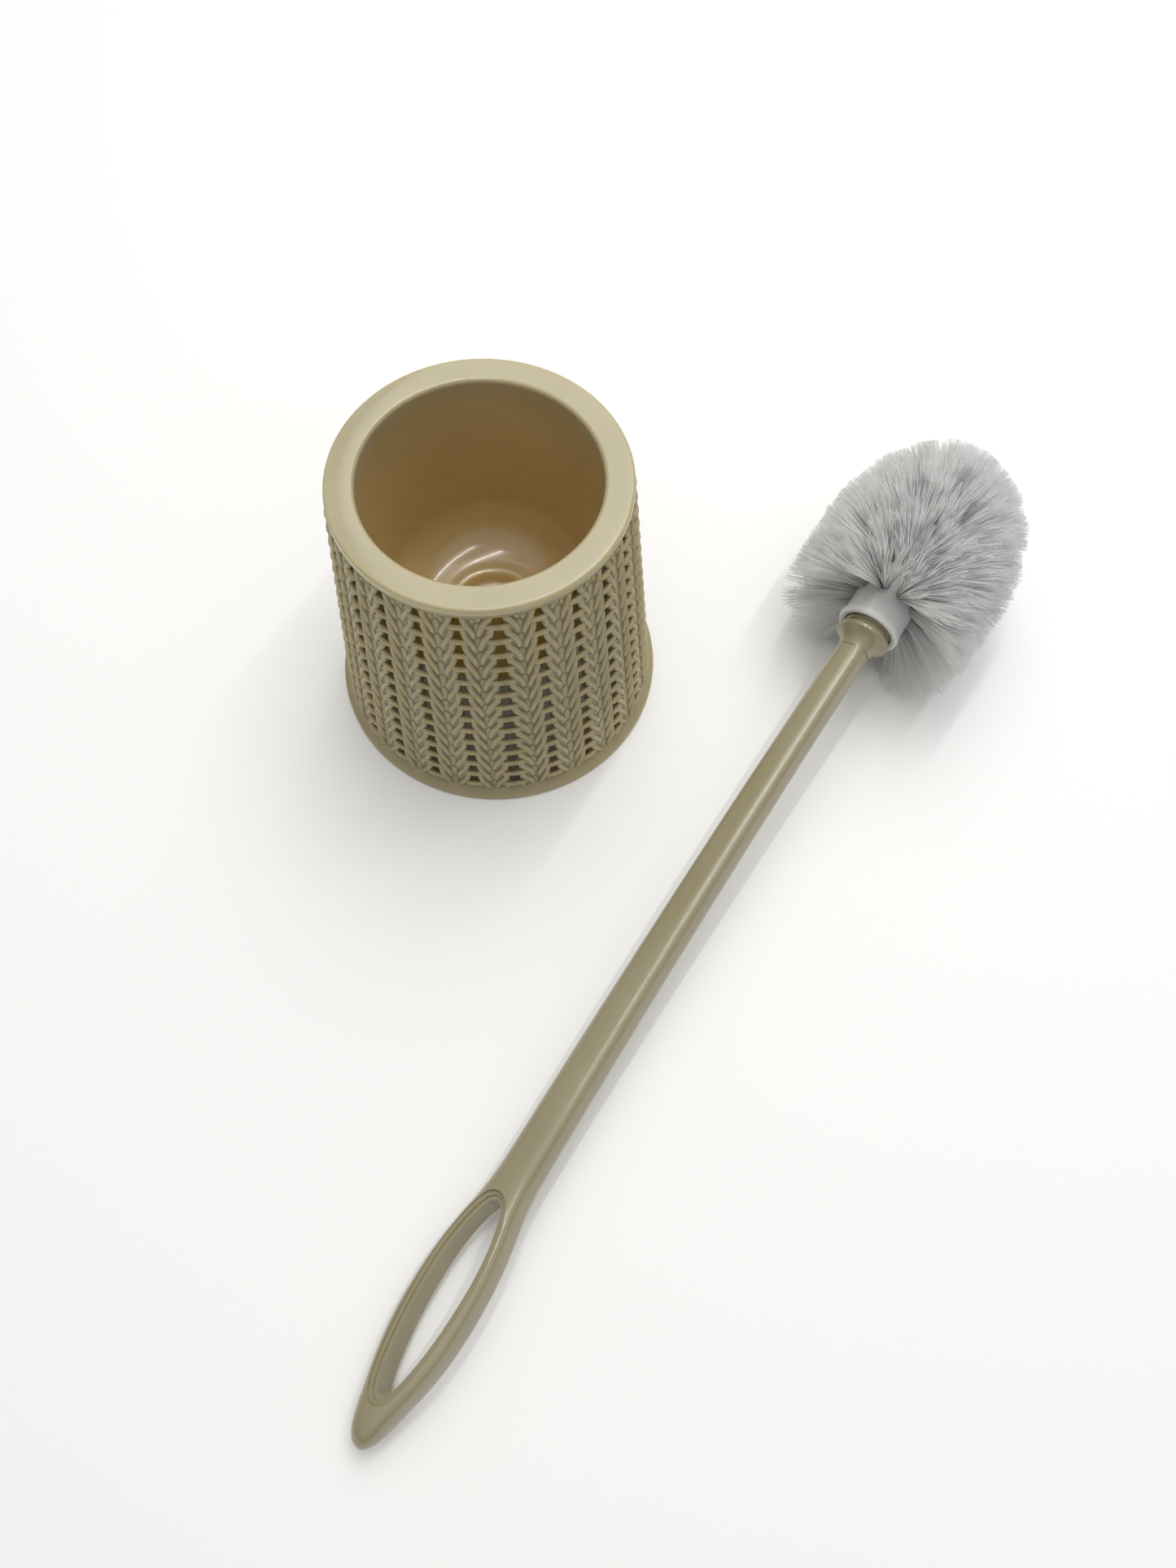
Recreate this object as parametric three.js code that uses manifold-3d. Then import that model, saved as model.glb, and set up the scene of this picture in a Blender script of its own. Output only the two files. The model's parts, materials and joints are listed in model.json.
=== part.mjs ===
// Toilet brush set: a knit-look openwork sleeve with a lift-out liner cup, and a brush lying beside it.
// Millimetres, +Z up.  The brush lies along +Y; the holder stands to its left.
import * as THREE from 'three';
import { mergeVertices } from 'three/addons/utils/BufferGeometryUtils.js';
import Module from 'manifold-3d';

const wasm = await Module();
wasm.setup();

const DEGREE = Math.PI / 180;

// ---- Fits ----
const GAP = 0.3;                      // between pieces that touch
const RUNNING_GAP = 0.45;             // between the thread ridge and the socket it turns in

// ---- Sleeve: one moulding, openwork cone on a flared foot ----
const SLEEVE_TOP = 105;
const SLEEVE_TOP_RADIUS = 46;
const SLEEVE_TAPER = 0.0937;          // radius gained per mm going down
const SLEEVE_WALL = 2.2;
const FOOT_RADIUS = 58.7;
const FOOT_BEAD_HEIGHT = 2.4;
const FOOT_BEAD_ROUND = 0.7;
const FOOT_WALL = 4.4;
const FLARE_TOP = 6;                  // the flare of the foot runs out into the cone here
const COLUMNS = 24;                   // columns of windows round the sleeve
const COLUMN_PITCH = 360 / COLUMNS;
const FIRST_COLUMN = 279.6;           // bearing of the column that faces the user
const WINDOW_HALF_ANGLE = 1.75;
const RUNGS = 14;
const RUNG_PITCH = 7.07;
const LOWEST_RUNG = 7.4;
const RUNG_HEIGHT = 2;
const TOP_BAND = 1.6;                 // solid band above the top windows

// ---- Liner cup: wide flat rim, tapered wall, bowl floor with a dimple ----
const HOLDER_HEIGHT = 108;
const RIM_RADIUS = 46.8;
const RIM_EDGE_ROUND = 1.2;
const MOUTH_RADIUS = 37.5;
const MOUTH_ROUND = 1.4;
const CUP_WALL = 1.9;
const BOWL_START = 54;                // height where the wall turns into the bowl floor
const BOWL_START_RADIUS = 34.75;
const BOWL_FLOOR = 37.6;
const DIMPLE_RADIUS = 14.7;
const DIMPLE_DEPTH = 3.6;
const DIMPLE_SLOPE = 1.6;
const DOME_RADIUS = 6;
const DOME_HEIGHT = 2.4;
const SKIRT_DEPTH = 3;                // short skirt under the rim that centres the cup in the sleeve
const SKIRT_WALL = 1.4;
const CUP_SEGMENTS = 48;
const BOWL_STEPS = 6;

// ---- Brush handle: eye loop, tapering stem, collar flange, threaded plug ----
const LOOP_THICKNESS = 11.6;
const LOOP_EDGE_ROUND = 1.8;
// Outlines as [station along the brush, half width].
const LOOP_OUTLINE = [
  [0, 0], [1, 2.5], [4, 4.2], [11, 6.3], [26, 10.1], [44, 11.8], [60, 11.1], [74, 8.1], [86, 5.4], [94, 4.6],
];
const EYE_OUTLINE = [
  [14.6, 0], [16, 1.9], [20, 3.6], [28, 5.5], [40, 6.9], [52, 7.2], [64, 6], [73, 3.6], [77.2, 0],
];
const STEP_MARGINS = [2.5, 1.2];      // how far each recess step runs outside the eye
const STEP_DEPTHS = [1, 1.8];
const STEM_START = 84;
const STEM_END = 298;
const STEM_STATIONS = 6;
const STEM_WIDTHS = [13.2, 11.2];
const STEM_THICKNESSES = [11.1, 10.5];
const STEM_SQUARENESS = 3.2;          // 2 is an ellipse, larger is boxier
const STEM_SIDES = 28;
const COLLAR_START = 295;
const COLLAR_RADIUS = 9.8;
const COLLAR_CHAMFER = 0.5;
const NECK_RADIUS = 5;
const NECK_FLARE = [[0, 0], [1.4, 3.4], [2.8, 5.6]];   // [added radius, distance] from the collar's start
const COLLAR_BACK = 302.2;
const COLLAR_FRONT = 304.6;
const PLUG_RADIUS = 8;
const PLUG_END = 315;
const PLUG_CHAMFER = 0.8;
const THREAD_RIDGE = 0.55;
const THREAD_PITCH = 2.6;
const THREAD_TURNS = 3;
const THREAD_START = 1;               // from the collar's face
const ROUND_SEGMENTS = 32;
const HANDLE_BOW = 2.1;               // the handle bends a little to the left over its length

// ---- Brush head: white core with a lip, drilled for the tufts ----
const HUB_START = 307;
const HUB_LIP_RADIUS = 11.5;
const HUB_LIP_LENGTH = 2.6;
const HUB_LIP_CHAMFER = 0.6;
const HUB_RADIUS = 10.9;
const HUB_TAPER_START = 352;
const HUB_NOSE_RADIUS = 8.4;
const HUB_NOSE = 375;
const HUB_NOSE_CHAMFER = 1.5;
const SOCKET_DEPTH = 8.6;
const TUFT_HOLE_DEPTH = 4;
const TUFT_ROOT_RADIUS = 1.7;
const TUFT_STRAIGHT = 1.2;            // length outside the core before a tuft starts to fan out
const TUFT_CROWN = 2;                 // height of the domed tip
const TUFT_CROWN_RATIO = 0.72;        // flat of the tip against its full width
const DRILL_RUNOUT = 6;
const TUFT_SIDES = 6;
const HOLE_SIDES = 6;
const RING_STATIONS = [320.5, 331.5, 342.5, 353.5, 364];
const RING_LEANS = [-9, 1, 9, 18, 32];            // degrees towards the nose
const RING_REACHES = [33.5, 36, 36, 34.5, 31];    // tip distance from the brush axis
const TUFTS_PER_RING = 9;
const TIP_RADIUS = 5;
const NOSE_TUFTS = 6;
const NOSE_LEAN = 66;
const NOSE_RING_RATIO = 0.66;         // ring of nose tufts against the nose's radius
const NOSE_TIP_RADIUS = 5;
const NOSE_TIP_STATION = 391;
const FLOOR_CLEARANCE = 0.1;

// ---- How the brush lies: beside the holder, resting on its loop and its bristles ----
const BRUSH_OFFSET = 114.8;           // brush axis to holder axis
const BRUSH_TIP_BEHIND = 239;         // loop tip to holder axis, along the brush
const BRUSH_TIP_HEIGHT = 7.5;
const BRUSH_PITCH = 4.45 * DEGREE;    // the bristles hold the head end up
const BRUSH_ROLL = -27 * DEGREE;      // the loop leans over on its left edge
const HOLDER_TURN = 31.06;            // turns the front column to match the brush's bearing

const material = (color, roughness) => new THREE.MeshStandardMaterial({ color, roughness, metalness: 0 });
const RIM_CREAM = material(0xddd2b4, 0.35);
const SLEEVE_CREAM = material(0xd2c6a3, 0.5);
const HANDLE_CREAM = material(0xcbbd96, 0.3);
const HUB_WHITE = material(0xe9eaea, 0.45);
const BRISTLE_WHITE = material(0xf0f2f3, 0.7);

// ---------- helpers ----------

function toManifold(geometry) {
  const clean = geometry.clone();
  clean.deleteAttribute('normal');
  clean.deleteAttribute('uv');
  const merged = mergeVertices(clean, 1e-4);
  return new wasm.Manifold(new wasm.Mesh({
    numProp: 3,
    vertProperties: Float32Array.from(merged.attributes.position.array),
    triVerts: Uint32Array.from(merged.index.array),
  }));
}

function toGeometry(solid) {
  const mesh = solid.getMesh();
  const geometry = new THREE.BufferGeometry();
  geometry.setAttribute('position', new THREE.BufferAttribute(mesh.vertProperties, 3));
  geometry.setIndex(new THREE.BufferAttribute(mesh.triVerts, 1));
  return geometry;
}

function named(name, geometry, finish) {
  const mesh = new THREE.Mesh(geometry, finish);
  mesh.name = name;
  return mesh;
}

// A solid turned about Y from [radius, height] pairs that start and end on the axis.
function turned(profile, segments) {
  const points = profile.map(([radius, height]) => new THREE.Vector2(radius, height));
  return new THREE.LatheGeometry(points, segments);
}

function arc(centreR, centreZ, radiusR, radiusZ, fromDegrees, toDegrees, steps) {
  const points = [];
  for (let i = 0; i <= steps; i += 1) {
    const angle = (fromDegrees + (toDegrees - fromDegrees) * i / steps) * DEGREE;
    points.push([centreR + radiusR * Math.cos(angle), centreZ + radiusZ * Math.sin(angle)]);
  }
  return points;
}

// ---------- sleeve ----------

function coneRadius(z) {
  return SLEEVE_TOP_RADIUS + SLEEVE_TAPER * (SLEEVE_TOP - z);
}

// Heights of the grid lines across the openwork, with the bottom and top of each window in turn.
function windowLines() {
  const lines = [];
  for (let k = 0; k < RUNGS; k += 1) {
    const rung = LOWEST_RUNG + RUNG_PITCH * k;
    lines.push(rung + RUNG_HEIGHT / 2);
    lines.push(Math.min(rung + RUNG_PITCH - RUNG_HEIGHT / 2, SLEEVE_TOP - TOP_BAND));
  }
  return lines;
}

// Outer and inner radius at each grid line, from the ground up.
function sleeveRows() {
  const flareRadius = coneRadius(FLARE_TOP);
  const middle = (FOOT_BEAD_HEIGHT + FLARE_TOP) / 2;
  const footInner = FOOT_RADIUS - FOOT_WALL;
  const rows = [
    { z: 0, outer: FOOT_RADIUS - FOOT_BEAD_ROUND, inner: footInner },
    { z: FOOT_BEAD_ROUND, outer: FOOT_RADIUS, inner: footInner },
    { z: FOOT_BEAD_HEIGHT - FOOT_BEAD_ROUND, outer: FOOT_RADIUS, inner: footInner },
    {
      z: FOOT_BEAD_HEIGHT,
      outer: FOOT_RADIUS - FOOT_BEAD_ROUND,
      inner: coneRadius(FOOT_BEAD_HEIGHT) - SLEEVE_WALL,
    },
    {
      z: middle,
      outer: flareRadius + (FOOT_RADIUS - flareRadius) / 3,
      inner: coneRadius(middle) - SLEEVE_WALL,
    },
  ];
  [FLARE_TOP, ...windowLines(), SLEEVE_TOP].forEach((z) => {
    rows.push({ z, outer: coneRadius(z), inner: coneRadius(z) - SLEEVE_WALL });
  });
  return rows;
}

function knitSleeve() {
  const rows = sleeveRows();
  const firstWindowRow = rows.length - 1 - 2 * RUNGS;
  const around = 2 * COLUMNS;         // even cells are windows, odd cells are ribs
  const positions = [];
  const index = [];
  rows.forEach((row) => {
    [row.outer, row.inner].forEach((radius) => {
      for (let c = 0; c < around; c += 1) {
        const side = c % 2 === 0 ? -1 : 1;
        const column = FIRST_COLUMN + HOLDER_TURN + COLUMN_PITCH * Math.floor(c / 2);
        const bearing = (column + side * WINDOW_HALF_ANGLE) * DEGREE;
        positions.push(radius * Math.cos(bearing), radius * Math.sin(bearing), row.z);
      }
    });
  });
  const outer = (row, c) => row * 2 * around + (c % around);
  const inner = (row, c) => outer(row, c) + around;
  const quad = (a, b, c, d) => index.push(a, b, c, a, c, d);
  const last = rows.length - 1;
  for (let c = 0; c < around; c += 1) {
    for (let row = 0; row < last; row += 1) {
      const isWindow = c % 2 === 0 && row >= firstWindowRow && (row - firstWindowRow) % 2 === 0;
      if (isWindow) {
        quad(outer(row, c), outer(row, c + 1), inner(row, c + 1), inner(row, c));
        quad(outer(row + 1, c + 1), outer(row + 1, c), inner(row + 1, c), inner(row + 1, c + 1));
        quad(outer(row + 1, c), outer(row, c), inner(row, c), inner(row + 1, c));
        quad(outer(row, c + 1), outer(row + 1, c + 1), inner(row + 1, c + 1), inner(row, c + 1));
      } else {
        quad(outer(row, c), outer(row, c + 1), outer(row + 1, c + 1), outer(row + 1, c));
        quad(inner(row, c + 1), inner(row, c), inner(row + 1, c), inner(row + 1, c + 1));
      }
    }
    quad(outer(last, c), outer(last, c + 1), inner(last, c + 1), inner(last, c));
    quad(outer(0, c + 1), outer(0, c), inner(0, c), inner(0, c + 1));
  }
  const geometry = new THREE.BufferGeometry();
  geometry.setAttribute('position', new THREE.Float32BufferAttribute(positions, 3));
  geometry.setIndex(index);
  return named('knit_sleeve', geometry, SLEEVE_CREAM);
}

// ---------- liner cup ----------

function innerCup() {
  const rimUnder = SLEEVE_TOP + GAP;
  const skirtRadius = SLEEVE_TOP_RADIUS - SLEEVE_WALL - GAP;
  const skirtInner = skirtRadius - SKIRT_WALL;
  const dimpleFloor = BOWL_FLOOR - DIMPLE_DEPTH;
  const bowlWidth = BOWL_START_RADIUS - DIMPLE_RADIUS;
  const bowlDepth = BOWL_START - BOWL_FLOOR;
  const edge = RIM_EDGE_ROUND;
  const mouth = MOUTH_ROUND;
  const inside = [
    [0, dimpleFloor + DOME_HEIGHT],
    [DOME_RADIUS * 0.6, dimpleFloor + DOME_HEIGHT * 0.75],
    [DOME_RADIUS, dimpleFloor],
    [DIMPLE_RADIUS - DIMPLE_SLOPE, dimpleFloor],
    ...arc(DIMPLE_RADIUS, BOWL_START, bowlWidth, bowlDepth, -90, 0, BOWL_STEPS),
    ...arc(MOUTH_RADIUS + mouth, HOLDER_HEIGHT - mouth, mouth, mouth, 180, 90, 3),
  ];
  const rim = [
    ...arc(RIM_RADIUS - edge, HOLDER_HEIGHT - edge, edge, edge, 90, 0, 2),
    [RIM_RADIUS, rimUnder],
    [skirtRadius, rimUnder],
    [skirtRadius, rimUnder - SKIRT_DEPTH],
    [skirtInner, rimUnder - SKIRT_DEPTH],
    [skirtInner, rimUnder],
    [MOUTH_RADIUS + CUP_WALL, rimUnder - MOUTH_ROUND],
  ];
  const outside = [
    ...arc(DIMPLE_RADIUS, BOWL_START, bowlWidth + CUP_WALL, bowlDepth + CUP_WALL, 0, -90, BOWL_STEPS),
    [DIMPLE_RADIUS, dimpleFloor - CUP_WALL],
    [0, dimpleFloor - CUP_WALL],
  ];
  const profile = [...outside.reverse(), ...rim.reverse(), ...inside.reverse()];
  const geometry = turned(profile, CUP_SEGMENTS);
  geometry.rotateX(Math.PI / 2);
  return named('inner_cup', toGeometry(toManifold(geometry)), RIM_CREAM);
}

// ---------- brush handle ----------

// A closed outline, mirrored about the brush axis, through [station, half width] pairs.
function mirroredOutline(pairs, divisions) {
  const right = pairs.map(([station, half]) => new THREE.Vector2(half, station));
  const offAxis = pairs.filter(([, half]) => half > 0).reverse();
  const left = offAxis.map(([station, half]) => new THREE.Vector2(-half, station));
  const curve = new THREE.SplineCurve([...right, ...left, right[0]]);
  return curve.getPoints(divisions).slice(0, -1);
}

function grownOutline(points, margin) {
  return points.map((point, i) => {
    const before = points[(i + points.length - 1) % points.length];
    const after = points[(i + 1) % points.length];
    const along = new THREE.Vector2().subVectors(after, before).normalize();
    return new THREE.Vector2(point.x + along.y * margin, point.y - along.x * margin);
  });
}

// A flat plate of the outline, centred on the brush axis plane.
function plate(points, thickness, edgeRound) {
  const shape = new THREE.Shape(grownOutline(points, -edgeRound));
  const geometry = new THREE.ExtrudeGeometry(shape, {
    depth: thickness - 2 * edgeRound,
    bevelEnabled: edgeRound > 0,
    bevelThickness: edgeRound,
    bevelSize: edgeRound,
    bevelSegments: 2,
  });
  geometry.translate(0, 0, -thickness / 2 + edgeRound);
  return geometry;
}

function eyeLoop() {
  const eye = mirroredOutline(EYE_OUTLINE, 36);
  let loop = toManifold(plate(mirroredOutline(LOOP_OUTLINE, 44), LOOP_THICKNESS, LOOP_EDGE_ROUND));
  loop = loop.subtract(toManifold(plate(eye, 2 * LOOP_THICKNESS, 0)));
  STEP_MARGINS.forEach((margin, i) => {
    [1, -1].forEach((side) => {
      const step = plate(grownOutline(eye, margin), LOOP_THICKNESS, 0);
      step.translate(0, 0, side * (LOOP_THICKNESS - STEP_DEPTHS[i]));
      loop = loop.subtract(toManifold(step));
    });
  });
  return loop;
}

function superellipse(width, thickness, angle) {
  const power = 2 / STEM_SQUARENESS;
  const cos = Math.cos(angle);
  const sin = Math.sin(angle);
  return [
    0.5 * width * Math.sign(cos) * Math.abs(cos) ** power,
    0.5 * thickness * Math.sign(sin) * Math.abs(sin) ** power,
  ];
}

function stem() {
  const positions = [];
  const index = [];
  for (let i = 0; i <= STEM_STATIONS; i += 1) {
    const t = i / STEM_STATIONS;
    const station = STEM_START + (STEM_END - STEM_START) * t;
    const width = THREE.MathUtils.lerp(STEM_WIDTHS[0], STEM_WIDTHS[1], t);
    const thickness = THREE.MathUtils.lerp(STEM_THICKNESSES[0], STEM_THICKNESSES[1], t);
    for (let k = 0; k < STEM_SIDES; k += 1) {
      const [x, z] = superellipse(width, thickness, 2 * Math.PI * k / STEM_SIDES);
      positions.push(x, station, z);
    }
  }
  const at = (i, k) => i * STEM_SIDES + (k % STEM_SIDES);
  for (let i = 0; i < STEM_STATIONS; i += 1) {
    for (let k = 0; k < STEM_SIDES; k += 1) {
      index.push(at(i, k), at(i + 1, k), at(i + 1, k + 1));
      index.push(at(i, k), at(i + 1, k + 1), at(i, k + 1));
    }
  }
  for (let k = 1; k < STEM_SIDES - 1; k += 1) {
    index.push(at(0, 0), at(0, k), at(0, k + 1));
    index.push(at(STEM_STATIONS, 0), at(STEM_STATIONS, k + 1), at(STEM_STATIONS, k));
  }
  const geometry = new THREE.BufferGeometry();
  geometry.setAttribute('position', new THREE.Float32BufferAttribute(positions, 3));
  geometry.setIndex(index);
  return toManifold(geometry);
}

function collarAndPlug() {
  return toManifold(turned([
    [0, COLLAR_START],
    ...NECK_FLARE.map(([wider, further]) => [NECK_RADIUS + wider, COLLAR_START + further]),
    [COLLAR_RADIUS - COLLAR_CHAMFER, COLLAR_BACK],
    [COLLAR_RADIUS, COLLAR_BACK + COLLAR_CHAMFER],
    [COLLAR_RADIUS, COLLAR_FRONT - COLLAR_CHAMFER],
    [COLLAR_RADIUS - COLLAR_CHAMFER, COLLAR_FRONT],
    [PLUG_RADIUS, COLLAR_FRONT],
    [PLUG_RADIUS, PLUG_END - PLUG_CHAMFER],
    [PLUG_RADIUS - PLUG_CHAMFER, PLUG_END],
    [0, PLUG_END],
  ], ROUND_SEGMENTS));
}

class Helix extends THREE.Curve {
  getPoint(t, target = new THREE.Vector3()) {
    const angle = 2 * Math.PI * THREAD_TURNS * t;
    const station = COLLAR_FRONT + THREAD_START + THREAD_PITCH * THREAD_TURNS * t;
    return target.set(PLUG_RADIUS * Math.cos(angle), station, -PLUG_RADIUS * Math.sin(angle));
  }
}

function threadRidge() {
  const section = new THREE.EllipseCurve(0, 0, THREAD_RIDGE, THREAD_RIDGE).getPoints(5);
  const ridge = new THREE.Shape(section.slice(0, -1));
  return toManifold(new THREE.ExtrudeGeometry(ridge, {
    extrudePath: new Helix(),
    steps: THREAD_TURNS * 18,
    bevelEnabled: false,
  }));
}

// Sideways offset of the bowed handle at a station, nothing at the tip and at the collar.
function bowAt(station) {
  const t = station / COLLAR_FRONT;
  return -4 * HANDLE_BOW * t * (1 - t);
}

const BOW_SLOPE = 4 * HANDLE_BOW / COLLAR_FRONT;

// The collar, the plug and the whole head follow the line the bowed handle ends on.
function headFrame() {
  return new THREE.Matrix4().makeTranslation(0, COLLAR_FRONT, 0)
    .multiply(new THREE.Matrix4().makeRotationZ(-Math.atan(BOW_SLOPE)))
    .multiply(new THREE.Matrix4().makeTranslation(0, -COLLAR_FRONT, 0));
}

function brushHandle() {
  const grip = eyeLoop().add(stem()).warp((point) => {
    point[0] += bowAt(point[1]);
  });
  const threadedEnd = collarAndPlug().add(threadRidge()).transform(headFrame().elements);
  return named('brush_handle', toGeometry(grip.add(threadedEnd)), HANDLE_CREAM);
}

// ---------- brush head ----------

function hubRadiusAt(station) {
  const t = Math.max(0, (station - HUB_TAPER_START) / (HUB_NOSE - HUB_TAPER_START));
  return HUB_RADIUS - (HUB_RADIUS - HUB_NOSE_RADIUS) * t;
}

// The direction of a tuft that stands at a bearing round the core and leans towards the nose.
function tuftDirection(bearing, lean) {
  return new THREE.Vector3(
    Math.cos(lean) * Math.cos(bearing),
    Math.sin(lean),
    Math.cos(lean) * Math.sin(bearing),
  );
}

// One entry per tuft: where it leaves the core, which way it points, how long it is and how wide it fans.
function tuftLayout() {
  const tufts = [];
  RING_STATIONS.forEach((station, ring) => {
    const lean = RING_LEANS[ring] * DEGREE;
    const radius = hubRadiusAt(station);
    for (let k = 0; k < TUFTS_PER_RING; k += 1) {
      const bearing = 2 * Math.PI * (k + 0.5 * (ring % 2)) / TUFTS_PER_RING;
      tufts.push({
        name: `tuft_ring${ring + 1}_${k + 1}`,
        root: new THREE.Vector3(radius * Math.cos(bearing), station, radius * Math.sin(bearing)),
        along: tuftDirection(bearing, lean),
        reach: (RING_REACHES[ring] - radius) / Math.cos(lean),
        tip: TIP_RADIUS,
      });
    }
  });
  for (let k = 0; k < NOSE_TUFTS; k += 1) {
    const bearing = 2 * Math.PI * (k + 0.25) / NOSE_TUFTS;
    const along = tuftDirection(bearing, NOSE_LEAN * DEGREE);
    const radius = NOSE_RING_RATIO * HUB_NOSE_RADIUS;
    tufts.push({
      name: `tuft_nose_${k + 1}`,
      root: new THREE.Vector3(radius * Math.cos(bearing), HUB_NOSE, radius * Math.sin(bearing)),
      along,
      reach: (NOSE_TIP_STATION - HUB_NOSE) / along.y,
      tip: NOSE_TIP_RADIUS,
    });
  }
  return tufts;
}

// A round bar or cone along a tuft's direction, starting `back` mm inside the core.
function alongTuft(geometry, tuft, back) {
  const start = tuft.root.clone().addScaledVector(tuft.along, -back);
  geometry.applyQuaternion(new THREE.Quaternion().setFromUnitVectors(new THREE.Vector3(0, 1, 0), tuft.along));
  geometry.translate(start.x, start.y, start.z);
  return geometry;
}

function brushHub(tufts) {
  const boreRadius = PLUG_RADIUS + THREAD_RIDGE + RUNNING_GAP;
  let solid = toManifold(turned([
    [0, HUB_START],
    [HUB_LIP_RADIUS - HUB_LIP_CHAMFER, HUB_START],
    [HUB_LIP_RADIUS, HUB_START + HUB_LIP_CHAMFER],
    [HUB_LIP_RADIUS, HUB_START + HUB_LIP_LENGTH - HUB_LIP_CHAMFER],
    [HUB_RADIUS, HUB_START + HUB_LIP_LENGTH],
    [HUB_RADIUS, HUB_TAPER_START],
    [HUB_NOSE_RADIUS, HUB_NOSE - HUB_NOSE_CHAMFER],
    [HUB_NOSE_RADIUS - HUB_NOSE_CHAMFER, HUB_NOSE],
    [0, HUB_NOSE],
  ], ROUND_SEGMENTS));
  solid = solid.subtract(toManifold(turned([
    [0, HUB_START - 1],
    [boreRadius, HUB_START - 1],
    [boreRadius, HUB_START + SOCKET_DEPTH],
    [0, HUB_START + SOCKET_DEPTH],
  ], ROUND_SEGMENTS)));
  tufts.forEach((tuft) => {
    const length = TUFT_HOLE_DEPTH + DRILL_RUNOUT;
    const radius = TUFT_ROOT_RADIUS + GAP;
    const drill = new THREE.CylinderGeometry(radius, radius, length, HOLE_SIDES);
    drill.translate(0, length / 2, 0);
    solid = solid.subtract(toManifold(alongTuft(drill, tuft, TUFT_HOLE_DEPTH)));
  });
  return named('brush_hub', toGeometry(solid), HUB_WHITE);
}

// Bristles fan out from the tuft's root; a tuft that would meet the ground stops just above it.
function tuftMesh(tuft, headToGround) {
  const root = tuft.root.clone().applyMatrix4(headToGround);
  const along = tuft.along.clone().transformDirection(headToGround);
  const tipDrop = tuft.tip * Math.sqrt(1 - along.z * along.z);
  let reach = tuft.reach;
  if (along.z < 0) {
    reach = Math.min(reach, (root.z - tipDrop - FLOOR_CLEARANCE) / -along.z);
  }
  const back = TUFT_HOLE_DEPTH - GAP;
  const geometry = turned([
    [0, 0],
    [TUFT_ROOT_RADIUS, 0],
    [TUFT_ROOT_RADIUS, back + TUFT_STRAIGHT],
    [tuft.tip, back + reach - TUFT_CROWN],
    [TUFT_CROWN_RATIO * tuft.tip, back + reach],
    [0, back + reach],
  ], TUFT_SIDES);
  const solid = toManifold(alongTuft(geometry, tuft, back));
  return named(tuft.name, toGeometry(solid), BRISTLE_WHITE);
}

// ---------- assembly ----------

const assembly = new THREE.Group();
assembly.name = 'toilet_brush_set';

const holder = new THREE.Group();
holder.name = 'holder';
const sleeve = knitSleeve();
const cup = innerCup();
holder.add(sleeve);
holder.add(cup);

const brush = new THREE.Group();
brush.name = 'brush';
brush.position.set(BRUSH_OFFSET, -BRUSH_TIP_BEHIND, BRUSH_TIP_HEIGHT);
brush.rotation.set(BRUSH_PITCH, BRUSH_ROLL, 0);
brush.add(brushHandle());

const head = new THREE.Group();
head.name = 'brush_head';
head.applyMatrix4(headFrame());
brush.add(head);
brush.updateMatrixWorld();
const tufts = tuftLayout();
head.add(brushHub(tufts));
tufts.forEach((tuft) => head.add(tuftMesh(tuft, head.matrixWorld)));

assembly.add(holder);
assembly.add(brush);
assembly.updateMatrixWorld();
const extent = new THREE.Box3().setFromObject(assembly, true);
assembly.position.set(-(extent.min.x + extent.max.x) / 2, -(extent.min.y + extent.max.y) / 2, 0);

export default assembly;
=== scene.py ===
import json
import math
import random

import bpy
from mathutils import Matrix, Vector


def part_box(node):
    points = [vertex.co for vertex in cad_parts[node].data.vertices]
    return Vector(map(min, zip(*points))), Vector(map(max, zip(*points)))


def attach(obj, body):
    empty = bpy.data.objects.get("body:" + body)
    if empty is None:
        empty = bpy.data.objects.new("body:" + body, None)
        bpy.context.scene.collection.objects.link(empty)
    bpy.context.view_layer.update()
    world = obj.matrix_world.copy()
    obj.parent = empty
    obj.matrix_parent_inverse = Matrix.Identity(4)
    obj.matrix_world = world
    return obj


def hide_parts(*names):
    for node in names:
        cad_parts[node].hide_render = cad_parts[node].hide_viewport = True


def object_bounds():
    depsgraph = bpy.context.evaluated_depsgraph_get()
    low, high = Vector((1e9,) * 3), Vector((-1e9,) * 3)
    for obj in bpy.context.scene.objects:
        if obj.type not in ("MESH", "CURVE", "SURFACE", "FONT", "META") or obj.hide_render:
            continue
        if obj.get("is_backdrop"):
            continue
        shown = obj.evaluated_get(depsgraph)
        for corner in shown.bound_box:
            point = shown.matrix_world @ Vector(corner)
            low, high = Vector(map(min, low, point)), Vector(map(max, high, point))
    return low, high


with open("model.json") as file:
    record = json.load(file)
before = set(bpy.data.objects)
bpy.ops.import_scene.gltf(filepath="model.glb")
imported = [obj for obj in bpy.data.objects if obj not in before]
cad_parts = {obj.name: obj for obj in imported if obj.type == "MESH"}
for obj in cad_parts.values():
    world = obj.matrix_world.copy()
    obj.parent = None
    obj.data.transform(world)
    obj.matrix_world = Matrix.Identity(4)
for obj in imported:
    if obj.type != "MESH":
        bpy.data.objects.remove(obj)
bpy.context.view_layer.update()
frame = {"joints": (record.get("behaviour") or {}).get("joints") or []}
mm = 0.001

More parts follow.
